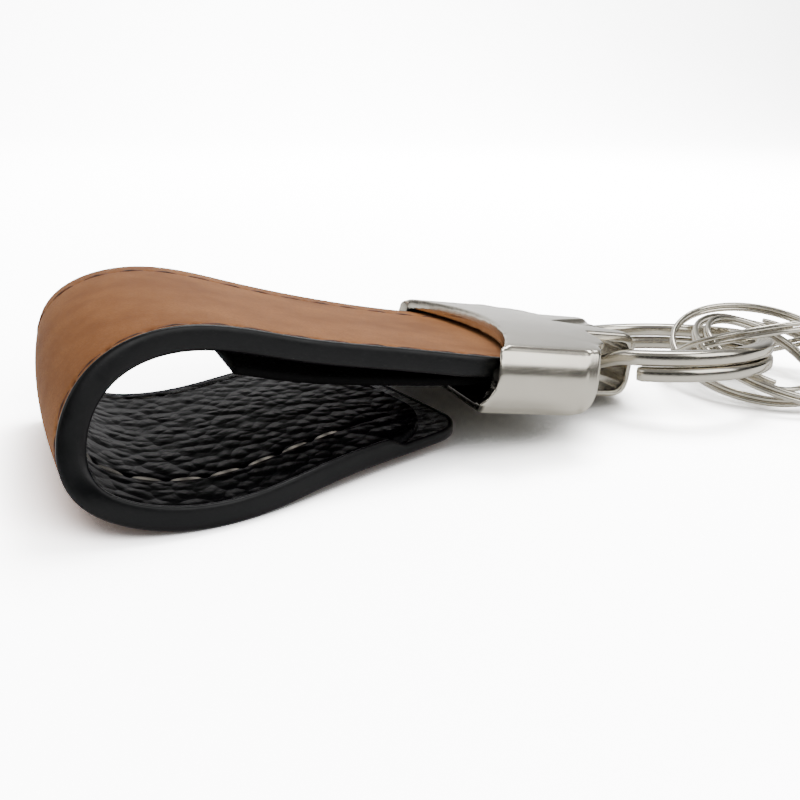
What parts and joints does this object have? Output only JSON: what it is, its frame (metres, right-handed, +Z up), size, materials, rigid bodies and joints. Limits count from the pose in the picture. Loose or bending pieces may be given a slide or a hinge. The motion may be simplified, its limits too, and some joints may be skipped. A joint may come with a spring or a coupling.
{
  "type": "leather key clip",
  "caption": "Two-ply leather strap loop in a cast metal head with a bail, carrying a flat split ring and thin split rings.",
  "frame": {"origin": "middle of the bottom of the whole clip's box, on the surface that it lies on", "axes": "+X from the strap's loop towards the rings, +Y across the strap to its far side, +Z up"},
  "size_m": [0.09, 0.0362, 0.0145],
  "materials": {
    "tan_leather": "smooth, semi-matte",
    "black_leather": "pebbled",
    "satin_nickel": "satin",
    "bright_nickel": "polished"
  },
  "bodies": {
    "clip": {"strap_outer_ply": "tan_leather", "strap_lining_ply": "black_leather", "keeper_ply": "black_leather", "head": "satin_nickel"},
    "main_ring": {"main_split_ring": "bright_nickel"},
    "thin_ring_1": {"thin_split_ring_1": "bright_nickel"},
    "thin_ring_2": {"thin_split_ring_2": "bright_nickel"},
    "thin_ring_3": {"thin_split_ring_3": "bright_nickel"},
    "thin_ring_4": {"thin_split_ring_4": "bright_nickel"}
  },
  "joints": [
    {"name": "main_ring_swing", "type": "hinge", "parent": "clip", "child": "main_ring", "pos_m": [0.00977, 0.00318, 0.00414], "axis": [-0.012, 0.9956, -0.0933], "range_deg": [-60, 18]},
    {"name": "thin_ring_1_round_main", "type": "hinge", "parent": "main_ring", "child": "thin_ring_1", "pos_m": [0.02127, 0.00318, 0.00414], "axis": [0, 0.165, 0.9863], "range_deg": [-60, 100]},
    {"name": "thin_ring_2_round_main", "type": "hinge", "parent": "main_ring", "child": "thin_ring_2", "pos_m": [0.02127, 0.00318, 0.00414], "axis": [0, 0.165, 0.9863], "range_deg": [-60, 100]},
    {"name": "thin_ring_3_round_main", "type": "hinge", "parent": "main_ring", "child": "thin_ring_3", "pos_m": [0.02127, 0.00318, 0.00414], "axis": [0, 0.165, 0.9863], "range_deg": [-60, 100]},
    {"name": "thin_ring_4_round_main", "type": "hinge", "parent": "main_ring", "child": "thin_ring_4", "pos_m": [0.02127, 0.00318, 0.00414], "axis": [0, 0.165, 0.9863], "range_deg": [-60, 100]}
  ],
  "couplings": [
    {"joint": "thin_ring_2_round_main", "follows": "thin_ring_1_round_main", "ratio": 1},
    {"joint": "thin_ring_3_round_main", "follows": "thin_ring_1_round_main", "ratio": 1},
    {"joint": "thin_ring_4_round_main", "follows": "thin_ring_1_round_main", "ratio": 1}
  ]
}
